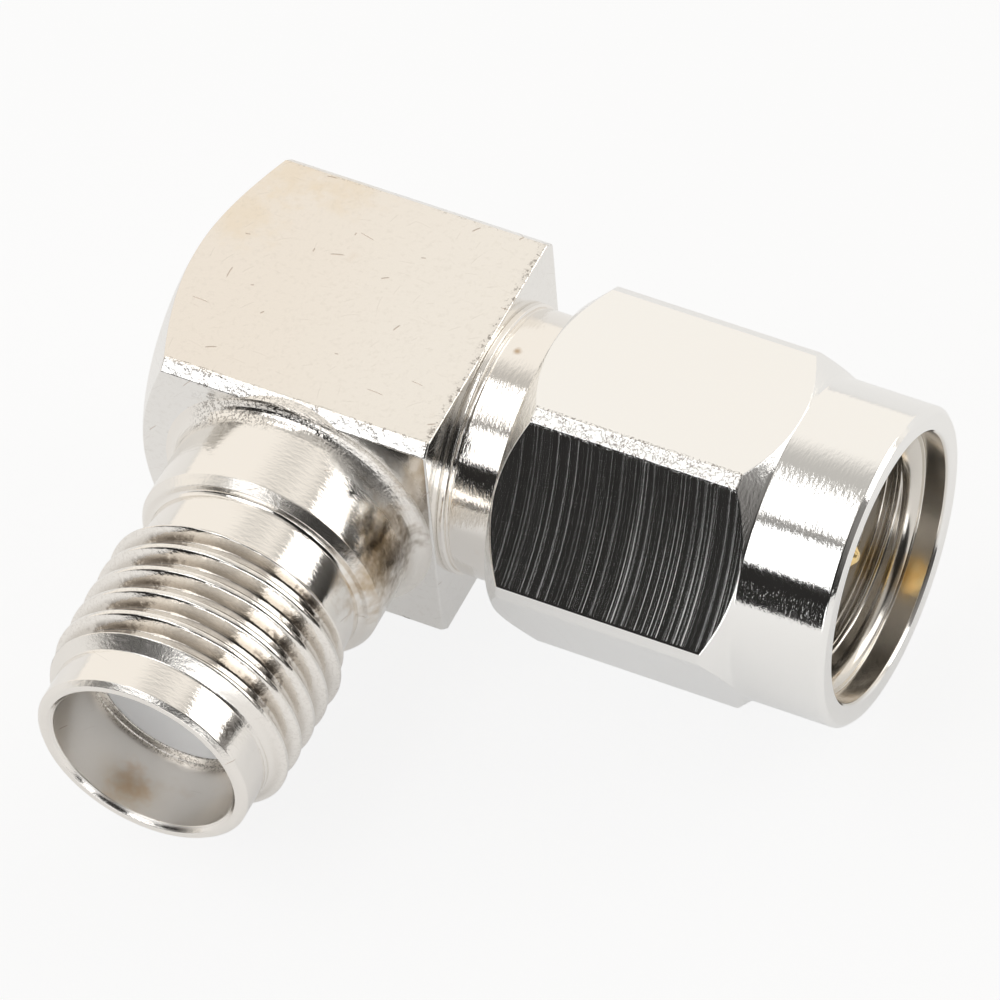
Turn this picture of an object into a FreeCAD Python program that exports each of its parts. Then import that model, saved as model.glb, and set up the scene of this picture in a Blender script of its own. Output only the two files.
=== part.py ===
"""Right-angle coaxial adapter: a plug with a hexagon coupling nut to a threaded jack.

Every piece is drawn about the crossing of the two port axes. The plug points along +X,
the jack along -Y and the broad face of the block looks up. Each piece is then moved by
the reach of the jack, so that the origin of the part is the centre of the jack's mouth.
"""

import FreeCAD, Part
import math
import os

import Sketcher

# Driving dimensions, in millimetres and degrees.
SIZES = {
    # Block, cut from square bar and turned at its closed end
    "bar_half": 3.55,
    "bar_edge_bevel": 0.27,
    "block_front": 3.57,
    "block_back": 4.14,
    "end_land_radius": 3.52,
    "end_cone_angle": 30.0,
    # Jack barrel, in one with the block
    "boss_radius": 3.12,
    "boss_cove": 0.40,
    "boss_edge": 0.16,
    "neck_radius": 2.74,
    "jack_reach": 12.0,
    "lead_in_length": 1.05,
    "lead_in_radius": 2.74,
    "thread_length": 3.93,
    "neck_length": 1.15,
    "mouth_chamfer": 0.12,
    "mouth_bevel": 0.12,
    "jack_bore_radius": 2.34,
    "jack_depth": 1.95,
    # Coupling thread, 36 turns to the inch, shared by the jack and the nut
    "thread_pitch": 0.7056,
    "thread_crest_radius": 3.12,
    "thread_depth": 0.36,
    "thread_flank_angle": 30.0,
    "thread_run_in": 0.28,
    "thread_fit": 0.07,
    # Plug ferrule
    "flange_radius": 3.40,
    "flange_width": 0.20,
    "flange_edge": 0.05,
    "collar_radius": 3.33,
    "collar_end": 7.00,
    "collar_bevel": 0.15,
    "spigot_radius": 2.85,
    "spigot_length": 1.00,
    "seat_radius": 2.70,
    "seat_face": 8.05,
    "shell_radius": 2.28,
    "shell_wall": 0.23,
    "shell_bevel": 0.12,
    # Insulators and the cavity that holds them
    "insulator_shoulder": 2.40,
    "insulator_gap": 0.01,
    "jack_shoulder_depth": 6.60,
    "plug_shoulder_depth": 4.60,
    "inner_clearance": 0.15,
    # Centre conductors
    "conductor_radius": 0.635,
    "socket_bore_radius": 0.47,
    "socket_depth": 2.70,
    "socket_mouth_bevel": 0.08,
    "slot_width": 0.15,
    "slot_length": 2.20,
    "contact_recess": 0.10,
    "contact_tail": 1.60,
    "pin_radius": 0.465,
    "pin_reach": 2.50,
    "pin_point_length": 0.42,
    "pin_point_radius": 0.16,
    "pin_tail_radius": 0.42,
    "pin_tail_reach": 0.60,
    "joint_gap": 0.01,
    # Coupling nut
    "nut_back": 5.10,
    "hex_end": 11.48,
    "nut_front": 13.85,
    "hex_across_flats": 8.00,
    "hex_corner_radius": 4.52,
    "nut_back_land": 3.95,
    "skirt_radius": 4.00,
    "skirt_edge": 0.12,
    "nut_turn": 5.0,
    "nut_running_gap": 0.05,
    "nut_bore_end": 7.60,
    "nut_relief_end": 8.70,
    "nut_relief_radius": 3.32,
    "nut_counterbore_radius": 3.36,
    "nut_counterbore_depth": 0.62,
    "nut_mouth_bevel": 0.08,
    "nut_rear_bevel": 0.12,
    # Retaining ring in its two grooves
    "ring_start": 6.20,
    "ring_width": 0.40,
    "ring_inner_radius": 3.02,
    "ring_outer_radius": 3.56,
    "ring_gap_angle": 34.0,
    "ring_float": 0.05,
    # Gasket
    "gasket_thickness": 0.50,
    "gasket_outer_radius": 2.72,
    "gasket_bore_gap": 0.02,
    # Access cap
    "cap_radius": 2.80,
    "cap_thickness": 0.60,
    "cap_bevel": 0.12,
    "cap_gap": 0.01,
}

NO_GAP = 1e-9


class Size:
    """A measure that knows its value and its formula in the sheet of sizes."""

    def __init__(self, value, formula):
        self.value = value
        self.formula = formula

    def joined(self, sign, other, value):
        return Size(value, f"({self.formula} {sign} {measure(other).formula})")

    def __add__(self, other):
        return self.joined("+", other, self.value + measure(other).value)

    def __sub__(self, other):
        return self.joined("-", other, self.value - measure(other).value)

    def __mul__(self, other):
        return self.joined("*", other, self.value * measure(other).value)

    def __truediv__(self, other):
        return self.joined("/", other, self.value / measure(other).value)

    def __neg__(self):
        return Size(-self.value, f"(0 - {self.formula})")


def measure(number):
    """Take a plain number as a measure too."""
    if isinstance(number, Size):
        return number
    return Size(float(number), repr(number))


def tangent(angle):
    """Tangent of an angle from the sheet, in degrees."""
    return Size(math.tan(math.radians(angle.value)), f"tan({angle.formula} * 1 deg)")


doc = FreeCAD.newDocument("CoaxAdapter")

sheet = doc.addObject("Spreadsheet::Sheet", "Sizes")
for row, (size_name, size_value) in enumerate(SIZES.items(), start=1):
    sheet.set(f"A{row}", size_name)
    sheet.set(f"B{row}", str(size_value))
    sheet.setAlias(f"B{row}", size_name)
doc.recompute()


def size(name):
    """Look a size up in the sheet."""
    return Size(float(sheet.get(name)), f"Sizes.{name}")


def new_body(label):
    """Start a piece, moved so that the jack's mouth is the origin."""
    body = doc.addObject("PartDesign::Body", label)
    body.Label = label
    body.setExpression("Placement.Base.y", size("jack_reach").formula)
    return body


def new_sketch(body, name, plane):
    """Start a sketch on one of the piece's own origin planes."""
    sketch = body.newObject("Sketcher::SketchObject", f"{body.Label}_{name}")
    support = [each for each in body.Origin.OriginFeatures if each.Role == plane]
    sketch.AttachmentSupport = [(support[0], "")]
    sketch.MapMode = "FlatFace"
    return sketch


def bind(sketch, kind, geometry, end, number):
    """Hold one coordinate of a corner to its formula."""
    origin_axis = {"DistanceX": -2, "DistanceY": -1}[kind]
    if abs(number.value) < NO_GAP:
        sketch.addConstraint(Sketcher.Constraint("PointOnObject", geometry, end, origin_axis))
        return
    index = sketch.addConstraint(Sketcher.Constraint(kind, geometry, end, number.value))
    sketch.setExpression(f"Constraints[{index}]", number.formula)


def draw(sketch, outline):
    """Draw a closed outline of straight lines through its corners, each held to its formula."""
    corners = [(measure(across), measure(up)) for across, up in outline]
    points = [FreeCAD.Vector(across.value, up.value, 0) for across, up in corners]
    lines = [
        sketch.addGeometry(Part.LineSegment(points[index - 1], points[index]))
        for index in range(len(points))
    ]
    for index, line in enumerate(lines):
        following = lines[(index + 1) % len(lines)]
        sketch.addConstraint(Sketcher.Constraint("Coincident", line, 2, following, 1))
        bind(sketch, "DistanceX", line, 2, corners[index][0])
        bind(sketch, "DistanceY", line, 2, corners[index][1])


def finish_feature(body, feature, sketch):
    """Tie a feature to its sketch and make it the last of its piece."""
    feature.Profile = sketch
    sketch.Visibility = False
    body.Tip = feature


def turn(body, name, port, outline, cut=False, angle=None):
    """Turn an outline about the plug's axis or the jack's. A corner is (along, radius)."""
    sketch = new_sketch(body, f"{name}_profile", "XY_Plane")
    if port == "plug":
        draw(sketch, outline)
    else:
        draw(sketch, [(radius, -measure(along)) for along, radius in outline])
    kind = "PartDesign::Groove" if cut else "PartDesign::Revolution"
    feature = body.newObject(kind, f"{body.Label}_{name}")
    finish_feature(body, feature, sketch)
    feature.ReferenceAxis = (sketch, ["H_Axis" if port == "plug" else "V_Axis"])
    feature.Angle = 360
    if angle is not None:
        feature.Midplane = True
        feature.setExpression("Angle", angle.formula)
    return feature


def pad_along_x(body, name, outline, start, stop):
    """Push an outline in the YZ plane along the plug's axis."""
    sketch = new_sketch(body, f"{name}_profile", "YZ_Plane")
    draw(sketch, outline)
    sketch.setExpression("AttachmentOffset.Base.z", start.formula)
    feature = body.newObject("PartDesign::Pad", f"{body.Label}_{name}")
    finish_feature(body, feature, sketch)
    feature.setExpression("Length", (stop - start).formula)
    return feature


def pocket_along_x(body, name, outline, start, stop):
    """Cut an outline in the YZ plane out of the piece, from start to stop along X."""
    sketch = new_sketch(body, f"{name}_profile", "YZ_Plane")
    draw(sketch, outline)
    sketch.setExpression("AttachmentOffset.Base.z", start.formula)
    feature = body.newObject("PartDesign::Pocket", f"{body.Label}_{name}")
    finish_feature(body, feature, sketch)
    feature.Reversed = True
    feature.setExpression("Length", (stop - start).formula)
    return feature


def repeat_about(body, feature, axis, count):
    """Repeat a cut evenly about one of the piece's own axes."""
    pattern = body.newObject("PartDesign::PolarPattern", f"{feature.Name}_repeat")
    line = [each for each in body.Origin.OriginFeatures if each.Role == axis]
    pattern.Originals = [feature]
    pattern.Axis = (line[0], [""])
    pattern.Angle = 360
    pattern.Occurrences = count
    body.Tip = pattern
    return pattern


def cut_thread(body, name, start, travel, root_radius, top_radius):
    """Cut a right-hand thread groove about the jack's axis.

    Its root is an eighth of a pitch to each side of the middle. Its flanks open to just
    past the crest. It starts at the given place and travels towards the mouth.
    """
    pitch = size("thread_pitch")
    root_half = pitch / 8
    top_half = root_half + (top_radius - root_radius) * tangent(size("thread_flank_angle"))
    sketch = new_sketch(body, f"{name}_profile", "XY_Plane")
    draw(sketch, [
        (root_radius, -(start - root_half)),
        (top_radius, -(start - top_half)),
        (top_radius, -(start + top_half)),
        (root_radius, -(start + root_half)),
    ])
    feature = body.newObject("PartDesign::SubtractiveHelix", f"{body.Label}_{name}")
    finish_feature(body, feature, sketch)
    feature.ReferenceAxis = (sketch, ["V_Axis"])
    feature.Mode = 0
    feature.LeftHanded = False
    feature.Reversed = True
    feature.setExpression("Pitch", pitch.formula)
    feature.setExpression("Height", travel.formula)
    return feature


# Places along the jack's axis, measured from the crossing towards the mouth.
jack_mouth = size("jack_reach")
jack_plane = jack_mouth - size("jack_depth")
thread_front = jack_mouth - size("lead_in_length")
thread_back = thread_front - size("thread_length")
boss_front = thread_back - size("neck_length")
thread_root_radius = size("thread_crest_radius") - size("thread_depth")
jack_shoulder = size("jack_shoulder_depth")
cap_seat = size("bar_half") - size("cap_thickness")

# Places along the plug's axis, measured from the crossing towards the nut's mouth.
flange_front = size("block_front") + size("flange_width")
spigot_back = size("block_front") - size("spigot_length")
plug_plane = size("seat_face") + size("gasket_thickness") + size("jack_depth")
plug_shoulder = size("plug_shoulder_depth")
cavity_radius = size("insulator_shoulder") + size("insulator_gap")
insulator_radius = size("shell_radius") - size("shell_wall")
line_radius = insulator_radius + size("insulator_gap")


def make_elbow_body():
    """Square block with the jack barrel, bored for both ports and for the access cap."""
    body = new_body("elbow_body")
    half = size("bar_half")
    flat = half - size("bar_edge_bevel")
    bar = [
        (flat, -half), (half, -flat), (half, flat), (flat, half),
        (-flat, half), (-half, flat), (-half, -flat), (-flat, -half),
    ]
    back = -size("block_back")
    pad_along_x(body, "bar", bar, back, size("block_front"))

    # The closed end is turned to a cone that dies out in the four long edges.
    land = size("end_land_radius")
    clear_radius = half * 1.5
    cone_run = (clear_radius - land) * tangent(size("end_cone_angle"))
    turn(body, "turned_end", "plug", [
        (back, land),
        (back + cone_run, clear_radius),
        (back, clear_radius),
    ], cut=True)

    # Barrel: hollow cove, boss, relief neck, thread blank and lead-in, from the block
    # outwards. The cove's quarter circle runs through corners 30 degrees apart.
    cove = size("boss_cove")
    cove_dip = 1 - math.cos(math.radians(30))
    boss = size("boss_radius")
    edge = size("boss_edge")
    neck = size("neck_radius")
    crest = size("thread_crest_radius")
    run_in = size("thread_run_in")
    mouth_edge = size("mouth_chamfer")
    lead_in = size("lead_in_radius")
    turn(body, "barrel", "jack", [
        (0, 0),
        (0, boss + cove),
        (half, boss + cove),
        (half + cove * cove_dip, boss + cove / 2),
        (half + cove / 2, boss + cove * cove_dip),
        (half + cove, boss),
        (boss_front - edge * 1.5, boss),
        (boss_front, boss - edge),
        (boss_front, neck),
        (thread_back, neck),
        (thread_back + run_in, crest),
        (thread_front - run_in, crest),
        (thread_front, lead_in),
        (jack_mouth - mouth_edge, lead_in),
        (jack_mouth, lead_in - mouth_edge),
        (jack_mouth, 0),
    ])

    cut_thread(
        body, "thread",
        thread_back - size("thread_pitch") / 2,
        size("thread_length") + size("thread_pitch"),
        thread_root_radius,
        crest + size("thread_fit"),
    )

    # Jack cavity: mating bore, insulator bore, its wider rear part and the cap's seat.
    bevel = size("mouth_bevel")
    bore = size("jack_bore_radius")
    cap = size("cap_radius") + size("cap_gap")
    turn(body, "jack_cavity", "jack", [
        (jack_mouth, 0),
        (jack_mouth, bore + bevel),
        (jack_mouth - bevel, bore),
        (jack_plane, bore),
        (jack_plane, line_radius),
        (jack_shoulder, line_radius),
        (jack_shoulder, cavity_radius),
        (-cap_seat, cavity_radius),
        (-cap_seat, cap),
        (-half, cap),
        (-half, 0),
    ], cut=True)

    # Bore that takes the plug ferrule's spigot, open to the jack cavity.
    spigot = size("spigot_radius") + size("joint_gap")
    turn(body, "plug_bore", "plug", [
        (0, 0),
        (0, cavity_radius),
        (spigot_back, cavity_radius),
        (spigot_back, spigot),
        (size("block_front"), spigot),
        (size("block_front"), 0),
    ], cut=True)
    return body


def make_plug_ferrule():
    """Turned sleeve pressed into the block: flange, collar, gasket seat and contact shell."""
    body = new_body("plug_ferrule")
    flange = size("flange_radius")
    flange_edge = size("flange_edge")
    collar = size("collar_radius")
    collar_end = size("collar_end")
    collar_bevel = size("collar_bevel")
    groove = size("ring_inner_radius")
    groove_start = size("ring_start") - size("ring_float")
    groove_end = size("ring_start") + size("ring_width") + size("ring_float")
    shell = size("shell_radius")
    shell_bevel = size("shell_bevel")
    turn(body, "sleeve", "plug", [
        (spigot_back, cavity_radius),
        (spigot_back, size("spigot_radius")),
        (size("block_front"), size("spigot_radius")),
        (size("block_front"), flange - flange_edge),
        (size("block_front") + flange_edge, flange),
        (flange_front - flange_edge, flange),
        (flange_front, flange - flange_edge),
        (flange_front, collar),
        (groove_start, collar),
        (groove_start, groove),
        (groove_end, groove),
        (groove_end, collar),
        (collar_end - collar_bevel, collar),
        (collar_end, collar - collar_bevel),
        (collar_end, size("seat_radius")),
        (size("seat_face"), size("seat_radius")),
        (size("seat_face"), shell),
        (plug_plane - shell_bevel, shell),
        (plug_plane, shell - shell_bevel),
        (plug_plane, line_radius),
        (plug_shoulder, line_radius),
        (plug_shoulder, cavity_radius),
    ])
    return body


def make_coupling_nut():
    """Hexagon nut with a round skirt, turned from bar, then milled on its six flats."""
    body = new_body("coupling_nut")
    body.setExpression("Placement.Rotation.Axis.x", "1")
    body.setExpression("Placement.Rotation.Axis.z", "0")
    body.setExpression("Placement.Rotation.Angle", (-size("nut_turn")).formula)
    back = size("nut_back")
    front = size("nut_front")
    corner = size("hex_corner_radius")
    land = size("nut_back_land")
    skirt = size("skirt_radius")
    skirt_edge = size("skirt_edge")
    running = size("collar_radius") + size("nut_running_gap")
    rear_bevel = size("nut_rear_bevel")
    groove = size("ring_outer_radius") + size("ring_float")
    groove_start = size("ring_start") - size("ring_float")
    groove_end = size("ring_start") + size("ring_width") + size("ring_float")
    relief = size("nut_relief_radius")
    relief_end = size("nut_relief_end")
    minor = thread_root_radius + size("thread_fit")
    thread_start = front - size("nut_counterbore_depth")
    wide = size("nut_counterbore_radius")
    mouth_bevel = size("nut_mouth_bevel")
    turn(body, "blank", "plug", [
        (back, running + rear_bevel),
        (back, land),
        (back + (corner - land), corner),
        (size("hex_end") - (corner - skirt), corner),
        (size("hex_end"), skirt),
        (front - skirt_edge, skirt),
        (front, skirt - skirt_edge),
        (front, wide + mouth_bevel),
        (front - mouth_bevel, wide),
        (thread_start, wide),
        (thread_start - (wide - minor) * tangent(size("thread_flank_angle")), minor),
        (relief_end, minor),
        (relief_end - (relief - minor), relief),
        (size("nut_bore_end"), relief),
        (size("nut_bore_end"), running),
        (groove_end, running),
        (groove_end, groove),
        (groove_start, groove),
        (groove_start, running),
        (back + rear_bevel, running),
    ])

    # One flat is milled, then repeated six times.
    apothem = size("hex_across_flats") / 2
    flat = pocket_along_x(body, "flat", [
        (-corner, apothem),
        (corner, apothem),
        (corner, corner + 1),
        (-corner, corner + 1),
    ], back - 1, size("hex_end"))
    repeat_about(body, flat, "X_Axis", 6)
    return body


def make_retaining_ring():
    """Open ring of square wire that holds the nut on the ferrule and lets it turn."""
    body = new_body("retaining_ring")
    start = size("ring_start")
    stop = size("ring_start") + size("ring_width")
    inner = size("ring_inner_radius")
    outer = size("ring_outer_radius")
    turn(body, "wire", "plug", [
        (start, inner), (start, outer), (stop, outer), (stop, inner),
    ], angle=measure(360) - size("ring_gap_angle"))
    return body


def make_gasket():
    """Flat rubber ring on the ferrule's seat, which the jack's mouth presses."""
    body = new_body("gasket")
    inner = size("shell_radius") + size("gasket_bore_gap")
    outer = size("gasket_outer_radius")
    start = size("seat_face")
    stop = start + size("gasket_thickness")
    turn(body, "ring", "plug", [
        (start, inner), (start, outer), (stop, outer), (stop, inner),
    ])
    return body


def make_plug_insulator():
    """Stepped insulator round the plug's centre conductor."""
    body = new_body("plug_insulator")
    bore = size("conductor_radius") + size("insulator_gap")
    turn(body, "bush", "plug", [
        (spigot_back, bore),
        (spigot_back, size("insulator_shoulder")),
        (plug_shoulder, size("insulator_shoulder")),
        (plug_shoulder, insulator_radius),
        (plug_plane, insulator_radius),
        (plug_plane, bore),
    ])
    return body


def make_jack_insulator():
    """Stepped insulator of the jack, drilled from the side where the plug's pin enters."""
    body = new_body("jack_insulator")
    bore = size("conductor_radius") + size("insulator_gap")
    rear = -(cap_seat - size("inner_clearance"))
    turn(body, "bush", "jack", [
        (rear, bore),
        (rear, size("insulator_shoulder")),
        (jack_shoulder, size("insulator_shoulder")),
        (jack_shoulder, insulator_radius),
        (jack_plane, insulator_radius),
        (jack_plane, bore),
    ])
    side = bore + size("inner_clearance")
    turn(body, "pin_hole", "plug", [
        (0, 0),
        (0, side),
        (size("insulator_shoulder") + 1, side),
        (size("insulator_shoulder") + 1, 0),
    ], cut=True)
    return body


def make_plug_pin():
    """Plug's centre conductor: tail, shank and the pin with its point."""
    body = new_body("plug_pin")
    shank = size("conductor_radius")
    tip = plug_plane + size("pin_reach")
    shank_start = shank + size("inner_clearance")
    turn(body, "conductor", "plug", [
        (-size("pin_tail_reach"), 0),
        (-size("pin_tail_reach"), size("pin_tail_radius")),
        (shank_start, size("pin_tail_radius")),
        (shank_start, shank),
        (plug_plane, shank),
        (plug_plane, size("pin_radius")),
        (tip - size("pin_point_length"), size("pin_radius")),
        (tip, size("pin_point_radius")),
        (tip, 0),
    ])
    return body


def make_jack_contact():
    """Jack's centre contact: slotted socket in front, cross hole for the pin's tail behind."""
    body = new_body("jack_contact")
    shank = size("conductor_radius")
    mouth = jack_plane - size("contact_recess")
    bevel = size("socket_mouth_bevel")
    turn(body, "conductor", "jack", [
        (-size("contact_tail"), 0),
        (-size("contact_tail"), shank),
        (mouth, shank),
        (mouth, size("socket_bore_radius") + bevel),
        (mouth - bevel, size("socket_bore_radius")),
        (mouth - size("socket_depth"), size("socket_bore_radius")),
        (mouth - size("socket_depth"), 0),
    ])
    hole = size("pin_tail_radius") + size("joint_gap")
    turn(body, "cross_hole", "plug", [
        (-shank - 1, 0),
        (-shank - 1, hole),
        (shank + 1, hole),
        (shank + 1, 0),
    ], cut=True)

    # Two slots at right angles split the socket into four spring fingers.
    slot_half = size("slot_width") / 2
    slot_back = mouth - size("slot_length")
    for name, plane in (("level_slot", "XY_Plane"), ("upright_slot", "YZ_Plane")):
        sketch = new_sketch(body, f"{name}_profile", plane)
        across, along = (0, 1) if plane == "XY_Plane" else (1, 0)
        corners = [
            (-slot_half, -mouth - 1),
            (slot_half, -mouth - 1),
            (slot_half, -slot_back),
            (-slot_half, -slot_back),
        ]
        draw(sketch, [(corner[across], corner[along]) for corner in corners])
        slot = body.newObject("PartDesign::Pocket", f"jack_contact_{name}")
        finish_feature(body, slot, sketch)
        slot.Midplane = True
        slot.setExpression("Length", (shank * 2 + 1).formula)
    return body


def make_access_cap():
    """Disc pressed flush into the back of the block, behind the jack's contact."""
    body = new_body("access_cap")
    radius = size("cap_radius")
    bevel = size("cap_bevel")
    outer = -size("bar_half")
    turn(body, "disc", "jack", [
        (-cap_seat, 0),
        (-cap_seat, radius),
        (outer + bevel, radius),
        (outer, radius - bevel),
        (outer, 0),
    ])
    return body


pieces = [
    make_elbow_body(),
    make_plug_ferrule(),
    make_coupling_nut(),
    make_retaining_ring(),
    make_gasket(),
    make_plug_insulator(),
    make_jack_insulator(),
    make_plug_pin(),
    make_jack_contact(),
    make_access_cap(),
]
doc.recompute()

failed = [
    each.Label
    for each in doc.Objects
    if "Invalid" in each.State or "Error" in each.State
]
if failed:
    raise RuntimeError(f"objects that failed: {failed}")

for piece in pieces:
    shape = piece.Shape
    if shape.isNull() or not shape.isValid() or len(shape.Solids) != 1:
        raise RuntimeError(f"{piece.Label} is not one valid solid")

os.makedirs("parts", exist_ok=True)
for piece in pieces:
    piece.Shape.exportStep(f"parts/{piece.Label}.step")
    print(f"{piece.Label}: {piece.Shape.Volume:.2f} mm3")
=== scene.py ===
"""Looks of the right-angle coaxial adapter: plated metal, gold contacts, white insulators."""

import math

import bmesh
import bpy
from mathutils import Matrix, Vector


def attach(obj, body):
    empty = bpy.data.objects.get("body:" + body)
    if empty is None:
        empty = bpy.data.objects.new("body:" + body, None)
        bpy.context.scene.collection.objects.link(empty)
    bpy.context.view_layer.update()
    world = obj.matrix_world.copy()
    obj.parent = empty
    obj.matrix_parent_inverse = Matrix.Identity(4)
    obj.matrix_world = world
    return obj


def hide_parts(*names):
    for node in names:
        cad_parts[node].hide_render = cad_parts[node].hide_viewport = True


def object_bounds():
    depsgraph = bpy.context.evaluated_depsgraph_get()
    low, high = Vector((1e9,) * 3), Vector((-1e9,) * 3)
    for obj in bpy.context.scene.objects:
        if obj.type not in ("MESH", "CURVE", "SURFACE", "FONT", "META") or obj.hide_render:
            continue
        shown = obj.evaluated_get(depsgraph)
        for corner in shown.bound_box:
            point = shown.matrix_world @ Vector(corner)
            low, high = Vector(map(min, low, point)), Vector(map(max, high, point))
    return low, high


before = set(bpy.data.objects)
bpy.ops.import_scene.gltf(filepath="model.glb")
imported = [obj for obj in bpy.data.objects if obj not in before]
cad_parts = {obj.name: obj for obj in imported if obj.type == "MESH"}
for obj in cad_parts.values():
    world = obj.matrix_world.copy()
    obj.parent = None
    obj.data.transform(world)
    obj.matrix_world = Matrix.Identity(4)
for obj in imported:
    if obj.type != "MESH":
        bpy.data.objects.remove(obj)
cad_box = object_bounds()

MM = 0.001

# Places along the jack's axis, in millimetres from the crossing of the two axes
JACK_REACH = 12.0
JACK_PLANE = 10.05
THREAD_FRONT = 10.95
THREAD_BACK = 7.02
BOSS_FRONT = 5.87
CAP_SEAT = -2.95

# Thread, a quarter inch across with 36 turns to the inch
PITCH = 0.7056
CREST = 3.12
THREAD_ROOT = 2.76
NUT_CORE = 2.83
NUT_GROOVE = 3.19
NUT_THREAD_START = 9.1

# Places along the plug's axis, in millimetres from the crossing
BLOCK_BACK = -4.14
BLOCK_FRONT = 3.57
NUT_BACK = 5.10
HEX_END = 11.48
NUT_FRONT = 13.85
PLUG_PLANE = 10.50
SEAT_FACE = 8.05
PIN_END = 13.00

# Block: half its width, half of a flat between two bevels, and where its front face lies in Y
BLOCK_HALF = 3.55
BLOCK_FLAT = 3.28
BLOCK_FACE = JACK_REACH - BLOCK_HALF

# Radii about the jack's axis in millimetres, and the sizes of its cove and its mouth's bevels
NECK = 2.74
JACK_BORE = 2.34
CAP_RADIUS = 2.80
COVE = 0.40
MOUTH_BEVEL = 0.12

# Radii about the plug's axis, in millimetres. The first two are the nut's flats and corners.
NUT_FLAT = 4.0
NUT_CORNER = 4.52
SKIRT = 3.99
NUT_BORE = 3.36
COLLAR = 3.33
SEAT = 2.70
SHELL = 2.28
CONTACT = 0.635

NUT_TURN = math.radians(5.0)

# In metres
FLOOR_HEIGHT = cad_box[0][2]
PANEL_DISTANCE = 0.30


# Outlines


def rounded(outline, closed=False, steps=3):
    """Turn each corner (along, radius, bend) into a short arc between two guide points.

    A bend is the radius of the arc, which takes at most 0.4 of the shorter run beside it.
    The guide points keep the long faces beside the arc flat.
    Every corner gives the same number of points, whatever its size.
    """
    points = []
    count = len(outline)
    for index, (along, radius, bend) in enumerate(outline):
        here = Vector((along, radius))
        if not closed and index in (0, count - 1):
            points.append(here)
            continue
        before = Vector(outline[index - 1][:2]) - here
        after = Vector(outline[(index + 1) % count][:2]) - here
        reach = 0.4 * min(before.length, after.length)
        before.normalize()
        after.normalize()
        half = 0.5 * math.acos(max(-1.0, min(1.0, before.dot(after))))
        setback = min(bend / max(math.tan(half), 1e-6), reach)
        guide = min(setback * 1.3 + 0.004, reach * 1.1)
        middle = (before + after).normalized()
        centre = here + middle * (setback / math.cos(half))
        first = here + before * setback - centre
        last = here + after * setback - centre
        swing = math.pi - 2 * half
        points.append(here + before * guide)
        for step in range(steps + 1):
            share = step / steps
            if swing < 1e-4:
                points.append(centre + first.lerp(last, share))
                continue
            leaving = first * math.sin((1 - share) * swing)
            arriving = last * math.sin(share * swing)
            points.append(centre + (leaving + arriving) / math.sin(swing))
        points.append(here + after * guide)
    return points


def cove(along, radius, size):
    """Quarter-round hollow from a flat face down to a barrel of the given radius."""
    steps = 8
    points = []
    for step in range(steps + 1):
        swing = step / steps * math.pi / 2
        points.append((
            along + size * (1 - math.cos(swing)),
            radius + size * (1 - math.sin(swing)),
            0.004,
        ))
    return points


def soft_min(one, other, blend):
    """Smaller of two lengths, with the corner between them rounded over the blend."""
    share = max(blend - abs(one - other), 0.0) / blend
    return min(one, other) - share * share * blend * 0.25


def soft_max(one, other, blend):
    """Larger of two lengths, with the corner between them rounded over the blend."""
    return -soft_min(-one, -other, blend)


# Skins


def on_plug_axis(along, radius, angle):
    """Point round the plug's axis. The angle starts at the top and turns to the jack's side."""
    return (
        along * MM,
        (JACK_REACH - radius * math.sin(angle)) * MM,
        radius * math.cos(angle) * MM,
    )


def on_jack_axis(along, radius, angle):
    """Point round the jack's axis. The angle starts at the plug's side and turns to the top."""
    return (
        radius * math.cos(angle) * MM,
        (JACK_REACH - along) * MM,
        radius * math.sin(angle) * MM,
    )


def skin(name, columns, closed):
    """Join columns of points, one for each angle, into a smooth skin that closes round."""
    rows = len(columns[0])
    points = [point for column in columns for point in column]
    faces = []
    last_row = rows if closed else rows - 1
    for index in range(len(columns)):
        here = index * rows
        beside = (index + 1) % len(columns) * rows
        for row in range(last_row):
            above = (row + 1) % rows
            faces.append((here + row, here + above, beside + above, beside + row))
    mesh = bpy.data.meshes.new(name)
    mesh.from_pydata(points, [], faces)
    shape = bmesh.new()
    shape.from_mesh(mesh)
    bmesh.ops.remove_doubles(shape, verts=shape.verts, dist=2e-7)
    bmesh.ops.recalc_face_normals(shape, faces=shape.faces)
    for face in shape.faces:
        face.smooth = True
    shape.to_mesh(mesh)
    shape.free()
    piece = bpy.data.objects.new(name, mesh)
    bpy.context.scene.collection.objects.link(piece)
    return piece


def turned(name, place, outline, closed=False, steps=3, columns=192):
    """Turn one outline about an axis."""
    points = rounded(outline, closed, steps)
    angles = [index / columns * math.tau for index in range(columns)]
    grid = [[place(p.x, p.y, angle) for p in points] for angle in angles]
    return skin(name, grid, closed)


def cut(piece, cutter):
    """Cut one skin out of another, and remove the cutter."""
    step = piece.modifiers.new("cut", "BOOLEAN")
    step.operation = "DIFFERENCE"
    step.solver = "EXACT"
    step.object = cutter
    bpy.context.view_layer.update()
    graph = bpy.context.evaluated_depsgraph_get()
    mesh = bpy.data.meshes.new_from_object(piece.evaluated_get(graph))
    piece.modifiers.clear()
    old = piece.data
    piece.data = mesh
    bpy.data.meshes.remove(old)
    bpy.data.objects.remove(cutter)
    piece.data.set_sharp_from_angle(angle=math.radians(40))


def bar_columns(corners, bend, fill):
    """Angles and radii of a bar's section: its corners rounded and its flats divided."""
    points = rounded([(x, y, bend) for x, y in corners], closed=True)
    per_corner = len(points) // len(corners)
    section = []
    for index, point in enumerate(points):
        section.append(point)
        if (index + 1) % per_corner == 0:
            following = points[(index + 1) % len(points)]
            parts = max(2, round((following - point).length / fill))
            section += [point.lerp(following, part / parts) for part in range(1, parts)]
    return [(math.atan2(point.x, point.y), point.length) for point in section]


# Pieces


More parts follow.
